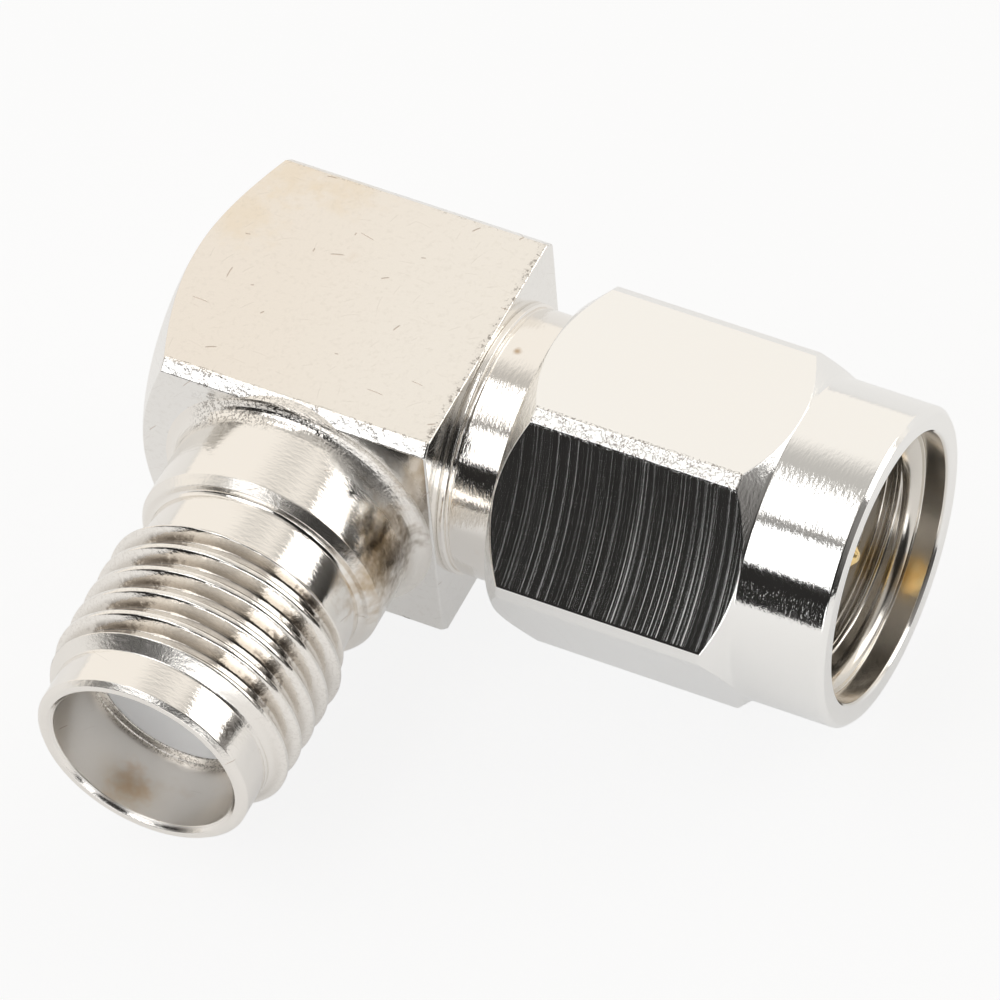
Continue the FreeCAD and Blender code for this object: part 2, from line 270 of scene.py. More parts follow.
def make_block():
    """Square block: bevelled long edges, one end turned to a cone, back bored for the cap."""
    half = BLOCK_HALF
    flat = BLOCK_FLAT
    corners = [
        (-flat, half), (flat, half), (half, flat), (half, -flat),
        (flat, -half), (-flat, -half), (-half, -flat), (-half, flat),
    ]
    land = 3.52
    cone = math.tan(math.radians(30))
    columns = []
    for angle, radius in bar_columns(corners, 0.05, 0.16):
        outline = [
            (BLOCK_BACK, 0.0, 0),
            (BLOCK_BACK, land, 0.03),
            (BLOCK_BACK + (radius - land) * cone, radius, 0.05),
            (BLOCK_FRONT, radius, 0.05),
            (BLOCK_FRONT, 0.0, 0),
        ]
        columns.append([on_plug_axis(p.x, p.y, angle) for p in rounded(outline, steps=4)])
    block = skin("square_block", columns, closed=False)
    seat_radius = CAP_RADIUS + 0.015
    bevel_radius = seat_radius + 0.10
    seat = turned("cap_seat_cutter", on_jack_axis, [
        (CAP_SEAT, 0.0, 0),
        (CAP_SEAT, seat_radius, 0.01),
        (-half + 0.05, seat_radius, 0.01),
        (-half - 0.05, bevel_radius, 0.01),
        (-half - 0.35, bevel_radius, 0.01),
        (-half - 0.35, 0.0, 0),
    ])
    cut(block, seat)
    return block


def jack_blank(along):
    """Radius of the barrel before its thread is cut, near the thread."""
    chamfer = 0.28
    rise = THREAD_BACK + chamfer
    fall = THREAD_FRONT - chamfer
    slope = (CREST - NECK) / chamfer
    if along < rise:
        return max(NECK, CREST - (rise - along) * slope)
    if along > fall:
        return max(NECK, CREST - (along - fall) * slope)
    return CREST


def flank_rise(along, angle, start):
    """How far the nearest flank of the thread stands off its groove's floor, at 60 degrees.

    It is below zero on the floor itself, which is a quarter of the pitch wide.
    """
    turns = (along - start) / PITCH - angle / math.tau
    off = abs(turns - round(turns)) * PITCH
    return (off - PITCH / 8) * math.sqrt(3)


def make_jack_barrel():
    """Cove, boss, relief neck, thread, lead-in and mating bore of the jack."""
    foot = [(3.3, 2.9, 0), (3.3, 3.52, 0.004)] + cove(BLOCK_HALF, CREST, COVE)
    foot += [
        (BOSS_FRONT - 0.24, CREST, 0.06),
        (BOSS_FRONT, CREST - 0.16, 0.03),
        (BOSS_FRONT + 0.02, NECK + 0.06, 0.10),
        (BOSS_FRONT + 0.10, NECK, 0.06),
        (THREAD_BACK - 0.08, NECK, 0),
    ]
    nose = [
        (THREAD_FRONT + 0.06, NECK, 0),
        (JACK_REACH - MOUTH_BEVEL, NECK, 0.03),
        (JACK_REACH, NECK - MOUTH_BEVEL, 0.03),
        (JACK_REACH, JACK_BORE + MOUTH_BEVEL, 0.02),
        (JACK_REACH - MOUTH_BEVEL, JACK_BORE, 0.03),
        (JACK_PLANE, JACK_BORE, 0.03),
        (JACK_PLANE, 2.06, 0.02),
        (8.0, 2.06, 0.02),
        (7.6, 2.3, 0),
    ]
    foot_points = rounded(foot)
    nose_points = rounded(nose)
    start = THREAD_BACK - PITCH / 2
    span = THREAD_FRONT - THREAD_BACK + 0.1
    rows = 230
    stations = [THREAD_BACK - 0.06 + span * (row + 0.5) / rows for row in range(rows)]
    around = 256
    columns = []
    for index in range(around):
        angle = index / around * math.tau
        column = [on_jack_axis(p.x, p.y, angle) for p in foot_points]
        for along in stations:
            flank = THREAD_ROOT + flank_rise(along, angle, start)
            groove = soft_max(THREAD_ROOT, flank, 0.05)
            radius = soft_min(jack_blank(along), groove, 0.035)
            column.append(on_jack_axis(along, radius, angle))
        column += [on_jack_axis(p.x, p.y, angle) for p in nose_points]
        columns.append(column)
    return skin("jack_barrel", columns, closed=True)


def make_nut():
    """Hexagon nut with turned corners, a round skirt and an inner thread."""
    half_width = math.sqrt(NUT_CORNER ** 2 - NUT_FLAT ** 2)
    corners = []
    for side in range(6):
        turn = side * math.pi / 3
        for reach in (-half_width, half_width):
            corners.append((
                reach * math.cos(turn) + NUT_FLAT * math.sin(turn),
                NUT_FLAT * math.cos(turn) - reach * math.sin(turn),
            ))
    land = 3.95
    back_bore = 3.38
    ring_groove = 3.61
    entry = (NUT_BORE - NUT_CORE) * math.tan(math.radians(30))
    mouth = NUT_FRONT - 0.62
    thread_length = 4.05
    rows = 130
    stations = [mouth - entry - 0.02 - thread_length * (row + 0.5) / rows for row in range(rows)]
    columns = []
    for angle, radius in bar_columns(corners, 0.05, 0.15):
        turned_angle = angle - NUT_TURN
        outside = [
            (7.0, back_bore, 0),
            (6.66, back_bore, 0.01),
            (6.66, ring_groove, 0.01),
            (6.14, ring_groove, 0.01),
            (6.14, back_bore, 0.01),
            (NUT_BACK + 0.12, back_bore, 0.03),
            (NUT_BACK, 3.50, 0.03),
            (NUT_BACK, land, 0.04),
            (NUT_BACK + (radius - land), radius, 0.06),
            (HEX_END - (radius - SKIRT), radius, 0.06),
            (HEX_END, SKIRT, 0.05),
            (NUT_FRONT - 0.12, SKIRT, 0.05),
            (NUT_FRONT, SKIRT - 0.12, 0.04),
            (NUT_FRONT, NUT_BORE + 0.08, 0.03),
            (NUT_FRONT - 0.08, NUT_BORE, 0.03),
            (mouth, NUT_BORE, 0.03),
            (mouth - 0.01, NUT_BORE - 0.12, 0.03),
            (mouth - entry, NUT_CORE, 0),
        ]
        inside = [
            (8.75, NUT_CORE, 0),
            (8.65, 3.32, 0.02),
            (7.60, 3.32, 0.02),
            (7.55, back_bore, 0.01),
            (7.2, back_bore, 0),
        ]
        column = [on_plug_axis(p.x, p.y, turned_angle) for p in rounded(outside)]
        for along in stations:
            flank = NUT_GROOVE - flank_rise(along, angle, NUT_THREAD_START)
            groove = soft_min(NUT_GROOVE, flank, 0.05)
            column.append(on_plug_axis(along, soft_max(NUT_CORE, groove, 0.03), turned_angle))
        column += [on_plug_axis(p.x, p.y, turned_angle) for p in rounded(inside)]
        columns.append(column)
    return skin("coupling_nut_skin", columns, closed=True)


def make_ferrule():
    """Flange ring, collar, gasket seat and contact shell in one turned sleeve."""
    return turned("plug_sleeve", on_plug_axis, [
        (2.60, 2.42, 0.01),
        (2.60, 2.84, 0.02),
        (BLOCK_FRONT, 2.84, 0.01),
        (BLOCK_FRONT, 3.36, 0.01),
        (3.61, 3.40, 0.03),
        (3.73, 3.40, 0.03),
        (3.77, 3.35, 0.02),
        (3.77, 3.27, 0.02),
        (3.84, 3.27, 0.02),
        (3.88, COLLAR, 0.02),
        (6.15, COLLAR, 0.02),
        (6.15, 3.02, 0.02),
        (6.65, 3.02, 0.02),
        (6.65, COLLAR, 0.02),
        (6.85, COLLAR, 0.03),
        (7.00, COLLAR - 0.15, 0.03),
        (7.00, SEAT, 0.03),
        (SEAT_FACE, SEAT, 0.03),
        (SEAT_FACE, SHELL, 0.02),
        (PLUG_PLANE - 0.10, SHELL, 0.05),
        (PLUG_PLANE, SHELL - 0.10, 0.03),
        (PLUG_PLANE, 2.08, 0.01),
        (4.60, 2.08, 0.01),
        (4.60, 2.42, 0.01),
    ], closed=True)


def make_plug_insulator():
    """White face round the plug's pin, with a shallow recess at the pin."""
    face = PLUG_PLANE - 0.03
    recess = PLUG_PLANE - 0.10
    return turned("plug_insulator_face", on_plug_axis, [
        (2.60, 0.66, 0.01),
        (2.60, 2.40, 0.02),
        (4.55, 2.40, 0.02),
        (4.65, 2.05, 0.02),
        (face, 2.05, 0.04),
        (face, 0.78, 0.03),
        (recess, 0.70, 0.02),
        (recess, 0.66, 0.01),
    ], closed=True)


def make_plug_pin():
    """Gold pin with a small collar and a rounded point."""
    return turned("gold_pin", on_plug_axis, [
        (0.80, 0.0, 0),
        (0.80, 0.63, 0.02),
        (PLUG_PLANE, CONTACT, 0.05),
        (PLUG_PLANE, 0.465, 0.03),
        (PIN_END - 0.44, 0.465, 0.10),
        (PIN_END - 0.12, 0.26, 0.12),
        (PIN_END, 0.12, 0.06),
        (PIN_END, 0.0, 0),
    ], steps=5, columns=96)


def make_jack_insulator():
    """White face at the bottom of the jack's bore."""
    face = JACK_PLANE - 0.01
    return turned("jack_insulator_face", on_jack_axis, [
        (-2.75, 0.66, 0.01),
        (-2.75, 2.39, 0.02),
        (6.50, 2.39, 0.02),
        (6.60, 2.05, 0.02),
        (face, 2.05, 0.04),
        (face, 0.72, 0.03),
        (face - 0.06, 0.66, 0.02),
    ], closed=True)


def make_jack_contact():
    """Gold socket, split by two crossing slots into four spring fingers."""
    mouth = JACK_PLANE - 0.10
    bottom = mouth - 2.70
    contact = turned("gold_socket", on_jack_axis, [
        (-1.55, 0.0, 0),
        (-1.55, CONTACT, 0.03),
        (mouth, CONTACT, 0.03),
        (mouth, 0.56, 0.02),
        (mouth - 0.08, 0.47, 0.03),
        (bottom, 0.47, 0.02),
        (bottom, 0.0, 0),
    ], steps=4, columns=96)
    slot_width = 0.15
    slot_length = 2.2
    for across in (Vector((1, 0, 0)), Vector((0, 0, 1))):
        mesh = bpy.data.meshes.new("slot_cutter")
        shape = bmesh.new()
        bmesh.ops.create_cube(shape, size=1.0)
        other = Vector((0, 0, 1)) if across.x else Vector((1, 0, 0))
        for corner in shape.verts:
            x = corner.co.x * 1.6
            z = corner.co.z * slot_width
            y = JACK_REACH - mouth + (corner.co.y + 0.5) * slot_length
            corner.co = (across * x + other * z) * MM + Vector((0, y * MM, 0))
        bmesh.ops.recalc_face_normals(shape, faces=shape.faces)
        shape.to_mesh(mesh)
        shape.free()
        cutter = bpy.data.objects.new("slot_cutter", mesh)
        bpy.context.scene.collection.objects.link(cutter)
        cut(contact, cutter)
    return contact


def make_cap():
    """Disc pressed into the block's back, a hair below its face."""
    bottom = CAP_SEAT - 0.01
    face = -BLOCK_HALF + 0.02
    return turned("back_cap", on_jack_axis, [
        (bottom, 0.0, 0),
        (bottom, CAP_RADIUS, 0.02),
        (face + 0.09, CAP_RADIUS, 0.02),
        (face, CAP_RADIUS - 0.10, 0.04),
        (face, 0.0, 0),
    ], steps=4)


def make_gasket():
    """Rubber ring on the ferrule's seat."""
    back = SEAT_FACE + 0.002
    front = SEAT_FACE + 0.49
    inner = SHELL + 0.02
    return turned("gasket_ring", on_plug_axis, [
        (back, inner, 0.02),
        (back, SEAT, 0.08),
        (front, SEAT, 0.12),
        (front, inner, 0.02),
    ], closed=True, steps=5)


# Finishes


def new_group(name, inputs, outputs):
    """Start a shader group with named number and vector inputs, and number outputs."""
    group = bpy.data.node_groups.new(name, "ShaderNodeTree")
    for title, kind, value in inputs:
        socket = group.interface.new_socket(title, in_out="INPUT", socket_type=kind)
        if kind == "NodeSocketFloat":
            socket.default_value = value
    for title, kind in outputs:
        group.interface.new_socket(title, in_out="OUTPUT", socket_type=kind)
    return group, group.nodes.new("NodeGroupInput"), group.nodes.new("NodeGroupOutput")


class Board:
    """Adds nodes to a tree. An input is a number, a colour, or the output of another node."""

    def __init__(self, tree):
        self.tree = tree

    def feed(self, socket, value):
        if isinstance(value, bpy.types.NodeSocket):
            self.tree.links.new(value, socket)
        else:
            socket.default_value = value

    def math(self, operation, *values):
        node = self.tree.nodes.new("ShaderNodeMath")
        node.operation = operation
        for socket, value in zip(node.inputs, values):
            self.feed(socket, value)
        return node.outputs[0]

    def total(self, first, *others):
        for other in others:
            first = self.math("ADD", first, other)
        return first

    def product(self, first, *others):
        for other in others:
            first = self.math("MULTIPLY", first, other)
        return first

    def vector_math(self, operation, *values):
        node = self.tree.nodes.new("ShaderNodeVectorMath")
        node.operation = operation
        for socket, value in zip(node.inputs, values):
            self.feed(socket, value)
        return node.outputs["Value" if operation in ("DOT_PRODUCT", "LENGTH", "DISTANCE") else "Vector"]

    def scale(self, vector, factor):
        node = self.tree.nodes.new("ShaderNodeVectorMath")
        node.operation = "SCALE"
        self.feed(node.inputs[0], vector)
        self.feed(node.inputs["Scale"], factor)
        return node.outputs["Vector"]

    def split(self, vector):
        node = self.tree.nodes.new("ShaderNodeSeparateXYZ")
        self.feed(node.inputs[0], vector)
        return node.outputs

    def join(self, x, y, z):
        node = self.tree.nodes.new("ShaderNodeCombineXYZ")
        for socket, value in zip(node.inputs, (x, y, z)):
            self.feed(socket, value)
        return node.outputs[0]

    def noise(self, vector, scale, detail, roughness):
        node = self.tree.nodes.new("ShaderNodeTexNoise")
        self.feed(node.inputs["Vector"], vector)
        self.feed(node.inputs["Scale"], scale)
        self.feed(node.inputs["Detail"], detail)
        self.feed(node.inputs["Roughness"], roughness)
        return node.outputs[0]

    def line_noise(self, along, scale, detail, roughness):
        node = self.tree.nodes.new("ShaderNodeTexNoise")
        node.noise_dimensions = "1D"
        self.feed(node.inputs["W"], along)
        self.feed(node.inputs["Scale"], scale)
        self.feed(node.inputs["Detail"], detail)
        self.feed(node.inputs["Roughness"], roughness)
        return node.outputs[0]

    def flat_cells(self, vector, scale):
        node = self.tree.nodes.new("ShaderNodeTexVoronoi")
        node.voronoi_dimensions = "2D"
        self.feed(node.inputs["Vector"], vector)
        self.feed(node.inputs["Scale"], scale)
        return node.outputs

    def ramp(self, value, low, high, to_low=0.0, to_high=1.0):
        node = self.tree.nodes.new("ShaderNodeMapRange")
        node.interpolation_type = "SMOOTHSTEP"
        for socket, number in zip(node.inputs, (value, low, high, to_low, to_high)):
            self.feed(socket, number)
        return node.outputs[0]

    def window(self, value, rise, fall):
        """Mask that rises over one pair of numbers and falls over the next."""
        return self.product(self.ramp(value, *rise), self.ramp(value, fall[1], fall[0]))

    def inverse(self, mask):
        return self.math("SUBTRACT", 1.0, mask)

    def mix(self, share, one, other):
        node = self.tree.nodes.new("ShaderNodeMix")
        node.data_type = "RGBA"
        self.feed(node.inputs[0], share)
        self.feed(node.inputs[6], one)
        self.feed(node.inputs[7], other)
        return node.outputs[2]

    def bump(self, height):
        """Normal of a height given in millimetres."""
        node = self.tree.nodes.new("ShaderNodeBump")
        self.feed(node.inputs["Height"], height)
        node.inputs["Distance"].default_value = MM
        node.inputs["Strength"].default_value = 1.0
        return node.outputs[0]

    def group(self, tree, **values):
        node = self.tree.nodes.new("ShaderNodeGroup")
        node.node_tree = tree
        for title, value in values.items():
            self.feed(node.inputs[title], value)
        return node.outputs


def make_tool_marks():
    """Ridges of a cutting tool, square to the given direction: height, and the bright ones."""
    group, given, made = new_group(
        "tool_marks",
        [("Along", "NodeSocketFloat", 0.0), ("Lines", "NodeSocketFloat", 5.0)],
        [("Height", "NodeSocketFloat"), ("Streak", "NodeSocketFloat")],
    )
    board = Board(group)
    lines = board.line_noise(given.outputs["Along"], given.outputs["Lines"], 3.0, 0.85)
    group.links.new(board.math("SUBTRACT", lines, 0.5), made.inputs["Height"])
    group.links.new(board.ramp(lines, 0.49, 0.74), made.inputs["Streak"])
    return group


def make_nicks():
    """Short scored dashes, one to a cell, each at its own angle, with many cells left bare."""
    group, given, made = new_group(
        "nicks",
        [("Flat", "NodeSocketVector", None), ("Spacing", "NodeSocketFloat", 1.0),
         ("Length", "NodeSocketFloat", 0.2), ("Width", "NodeSocketFloat", 0.03),
         ("Share", "NodeSocketFloat", 0.5)],
        [("Mask", "NodeSocketFloat")],
    )
    board = Board(group)
    least_turn = -0.3
    most_turn = 1.4
    bow = 0.25
    flat = given.outputs["Flat"]
    width = given.outputs["Width"]
    cells = board.flat_cells(flat, board.math("DIVIDE", 1.0, given.outputs["Spacing"]))
    chance = board.split(cells["Color"])
    local = board.split(board.vector_math("SUBTRACT", flat, cells["Position"]))
    turn = board.math("MULTIPLY_ADD", chance[0], most_turn - least_turn, least_turn)
    cosine = board.math("COSINE", turn)
    sine = board.math("SINE", turn)
    along = board.math("ADD", board.product(local[0], cosine), board.product(local[1], sine))
    across = board.math("SUBTRACT", board.product(local[1], cosine), board.product(local[0], sine))
    bowed = board.math("MULTIPLY_ADD", board.product(along, along), bow, across)
    length = board.product(given.outputs["Length"], board.math("MULTIPLY_ADD", chance[2], 0.9, 0.25))
    ends = board.ramp(board.math("ABSOLUTE", along), length, board.product(length, 0.5))
    sides = board.ramp(board.math("ABSOLUTE", bowed), width, board.product(width, 0.3))
    taken = board.math("LESS_THAN", chance[1], given.outputs["Share"])
    group.links.new(board.product(ends, sides, taken), made.inputs["Mask"])
    return group


def make_blotches():
    """Soft uneven patches, as tarnish or handling leaves."""
    group, given, made = new_group(
        "blotches",
        [("Place", "NodeSocketVector", None), ("Width", "NodeSocketFloat", 2.0),
         ("Share", "NodeSocketFloat", 0.3)],
        [("Mask", "NodeSocketFloat")],
    )
    board = Board(group)
    scale = board.math("DIVIDE", 1.0, given.outputs["Width"])
    wide = board.noise(given.outputs["Place"], scale, 3.0, 0.62)
    level = board.math("SUBTRACT", 0.75, board.math("MULTIPLY", given.outputs["Share"], 0.4))
    group.links.new(board.ramp(wide, level, board.math("ADD", level, 0.16)), made.inputs["Mask"])
    return group


def make_tumbled():
    """Unevenness of plate over a tumbled blank: its height, and thin creases between its grains."""
    group, given, made = new_group(
        "tumbled",
        [("Place", "NodeSocketVector", None), ("Grain", "NodeSocketFloat", 6.0)],
        [("Height", "NodeSocketFloat"), ("Crease", "NodeSocketFloat")],
    )
    board = Board(group)
    wide = board.noise(given.outputs["Place"], given.outputs["Grain"], 3.0, 0.62)
    centred = board.math("SUBTRACT", wide, 0.5)
    group.links.new(centred, made.inputs["Height"])
    group.links.new(board.ramp(board.math("ABSOLUTE", centred), 0.035, 0.008), made.inputs["Crease"])
    return group


TOOL_MARKS = make_tool_marks()
NICKS = make_nicks()
BLOTCHES = make_blotches()
TUMBLED = make_tumbled()

BLOCK_TONE = (0.885, 0.872, 0.85, 1.0)
# Top face tones, painted reflection
TOP_REFLECTION_TONE = (0.869, 0.817, 0.752, 1.0)
TOP_REFLECTION_TONE_COOL = (0.884, 0.853, 0.805, 1.0)
BRIGHT_TONE = (0.93, 0.925, 0.91, 1.0)
BRIGHT_TONE_WARM = (0.91, 0.88, 0.838, 1.0)
SHADE_AND_DARK_MARKS = (0.50, 0.45, 0.39, 1.0)
TARNISH = (0.62, 0.44, 0.27, 1.0)
WARM_FILM = (0.84, 0.73, 0.57, 1.0)
# Near-black used for grime in creases, and also as painted shade
GRIME_AND_PAINTED_SHADE = (0.13, 0.105, 0.085, 1.0)
DASH_BROWN = (0.36, 0.24, 0.16, 1.0)
BROWN_FILM_AND_SHADE = (0.50, 0.37, 0.22, 1.0)
RUST = (0.72, 0.50, 0.30, 1.0)
BROWN_SPOT = (0.45, 0.30, 0.16, 1.0)
GOLDEN_SPOT = (0.75, 0.50, 0.20, 1.0)
# Warm dark tone, painted shade inside the nut
INSIDE_SHADE_TONE = (0.55, 0.47, 0.36, 1.0)

WHITE = (1.0, 1.0, 1.0, 1.0)
DARK_ROOM = (0.020, 0.019, 0.018, 1.0)
GAP_TONE = (0.26, 0.25, 0.24, 1.0)
RIGHT_TONE = (0.23, 0.22, 0.21, 1.0)
SWEEP_TONE = (0.985, 0.945, 0.885, 1.0)
CEILING_TONE = (0.55, 0.53, 0.50, 1.0)

# In millimetres
NICK_DEPTH = 0.002


class Finish:
    """A material in the making: its tone, roughness and height build up layer by layer."""

    def __init__(self, name, tone, roughness):
        self.material = bpy.data.materials.new(name)
        self.material.use_nodes = True
        tree = self.material.node_tree
        self.board = Board(tree)
        self.shader = tree.nodes["Principled BSDF"]
        where = tree.nodes.new("ShaderNodeTexCoord").outputs["Object"]
        self.place = self.board.scale(where, 1 / MM)
        self.x, self.y, self.z = self.board.split(self.place)[:3]
        self.tone = tone
        self.rough = roughness
        self.height = None

    def tint(self, mask, strength, colour):
        self.tone = self.board.mix(self.board.product(mask, strength), self.tone, colour)

    def roughen(self, mask, amount):
        self.rough = self.board.math("MULTIPLY_ADD", mask, amount, self.rough)

    def raise_by(self, shape, amount):
        risen = self.board.product(shape, amount)
        self.height = risen if self.height is None else self.board.math("ADD", self.height, risen)

    def spot(self, centre, reach):
        """Mask of one ragged spot: full at the given centre, and faded out at its reach."""
        board = self.board
        wander = reach * 0.7
        distance = board.vector_math("DISTANCE", self.place, centre)
        noise = board.noise(self.place, 2.2, 2.0, 0.7)
        ragged = board.math("MULTIPLY_ADD", noise, 2 * wander, distance)
        return board.ramp(ragged, reach + wander, wander)

    def drawn_grain(self, finer, grain):
        """Height of a grain drawn out in one direction, as brushing or rolling leaves it."""
        place = self.board.vector_math("MULTIPLY", self.place, finer)
        return self.board.group(TUMBLED, Place=place, Grain=grain)["Height"]

    def flat_place(self):
        """Place laid flat, so that each face and barrel of the object gets an even pattern."""
        board = self.board
        lean = board.math("MULTIPLY_ADD", board.math("SUBTRACT", self.y, self.z), 0.5, self.x)
        return board.join(lean, board.math("ADD", self.y, self.z), 0.0)

    def finished(self, metallic):
        board = self.board
        board.feed(self.shader.inputs["Base Color"], self.tone)
        board.feed(self.shader.inputs["Roughness"], self.rough)
        board.feed(self.shader.inputs["Normal"], board.bump(self.height))
        self.shader.inputs["Metallic"].default_value = metallic
        return self.material


def distance_from_plug_axis(finish):
    board = finish.board
    from_axis = board.math("SUBTRACT", finish.y, JACK_REACH)
    return board.vector_math("LENGTH", board.join(0.0, from_axis, finish.z))


def distance_from_jack_axis(finish):
    return finish.board.vector_math("LENGTH", finish.board.join(finish.x, 0.0, finish.z))


def add_nicks(finish, share):
    """Sparse brown dashes and faint hairlines. Gives the mask of the dashes."""
    board = finish.board
    flat = finish.flat_place()
    dashes = board.group(NICKS, Flat=flat, Spacing=1.15, Length=0.22, Width=0.017, Share=share)
    finish.tint(dashes["Mask"], 0.55, DASH_BROWN)
    finish.roughen(dashes["Mask"], 0.15)
    hairs = board.group(NICKS, Flat=flat, Spacing=0.55, Length=0.30, Width=0.009, Share=share)
    finish.tint(hairs["Mask"], 0.22, SHADE_AND_DARK_MARKS)
    return dashes["Mask"]


def add_patches(finish, width, share, strength, colour, dulling):
    """Soft patches of another tone, a little duller than the rest."""
    patches = finish.board.group(BLOTCHES, Place=finish.place, Width=width, Share=share)["Mask"]
    finish.tint(patches, strength, colour)
    finish.roughen(patches, dulling)


def add_stains(finish, share):
    """Thin warm stains, a little duller than the plate."""
    add_patches(finish, 1.8, share, 0.22, TARNISH, 0.05)


def add_lines(finish, along, lines, height):
    """Fine ridges of a cutting tool, square to the given direction."""
    ridges = finish.board.group(TOOL_MARKS, Along=along, Lines=lines)["Height"]
    finish.raise_by(ridges, height)


def upper_left_of_boss(finish):
    """Mask of the corner over the boss, on the side away from the plug, where plate is rough."""
    board = finish.board
    return board.product(board.ramp(finish.x, -2.8, -2.2), board.ramp(finish.z, 0.8, 1.8))


def make_block_nickel():
    """Satin nickel of the milled faces, with rough creased edges and a warm film at the back."""
    finish = Finish("nickel_milled_block", BLOCK_TONE, 0.13)
    board = finish.board
    grain = board.group(TUMBLED, Place=finish.place, Grain=3.6)
    fine = board.noise(finish.place, 8.0, 2.0, 0.7)
    # Painted reflection: the top face has its own warmer tone, cooler towards the plug
    on_top = board.ramp(finish.z, BLOCK_HALF - 0.07, BLOCK_HALF - 0.02)
    to_the_plug = board.ramp(finish.x, -3.0, 3.0)
    finish.tint(on_top, 1.0, board.mix(to_the_plug, TOP_REFLECTION_TONE, TOP_REFLECTION_TONE_COOL))
    for x, y in ((-3.1, 15.0), (-3.5, 13.4), (-1.6, 15.2)):
        finish.tint(finish.spot((x, y, BLOCK_HALF), 1.3), 0.50, WARM_FILM)
    finish.tint(board.ramp(fine, 0.50, 0.72), 0.09, SHADE_AND_DARK_MARKS)
    finish.raise_by(add_nicks(finish, 0.50), -NICK_DEPTH)
    add_stains(finish, 0.15)

    from_axis = board.math("ABSOLUTE", board.math("SUBTRACT", finish.y, JACK_REACH))
    slant = board.math("ADD", from_axis, board.math("ABSOLUTE", finish.z))
    bevel_slant = BLOCK_HALF + BLOCK_FLAT
    at_front = board.ramp(finish.y, JACK_REACH, JACK_REACH - 2.0, 0.35, 1.0)
    bevel = board.product(board.ramp(slant, bevel_slant - 0.07, bevel_slant - 0.02), at_front)
    front_edge = board.product(
        board.window(finish.x, (BLOCK_FRONT - 0.26, BLOCK_FRONT - 0.06),
                     (BLOCK_FRONT - 0.014, BLOCK_FRONT - 0.004)),
        board.ramp(finish.z, 3.30, 3.48),
    )
    by_cove = board.product(
        board.ramp(finish.y, BLOCK_FACE + 0.07, BLOCK_FACE + 0.02),
        board.ramp(distance_from_jack_axis(finish), 4.0, 3.5),
        board.ramp(finish.x, 0.2, -0.6, 0.35, 1.0),
        upper_left_of_boss(finish),
    )
    edges = board.math("MAXIMUM", board.math("MAXIMUM", bevel, front_edge), by_cove)
    patchy = board.group(BLOTCHES, Place=finish.place, Width=0.55, Share=0.85)["Mask"]
    finish.tint(board.product(bevel, grain["Crease"], patchy), 0.75, GRIME_AND_PAINTED_SHADE)
    finish.tint(board.product(front_edge, board.ramp(fine, 0.54, 0.64)), 0.62, GRIME_AND_PAINTED_SHADE)
    finish.tint(board.product(by_cove, patchy, board.ramp(fine, 0.46, 0.56)), 0.75, GRIME_AND_PAINTED_SHADE)
    finish.roughen(edges, 0.08)
    finish.raise_by(grain["Height"], board.math("MULTIPLY_ADD", edges, 0.018, 0.0022))
    return finish.finished(1.0)


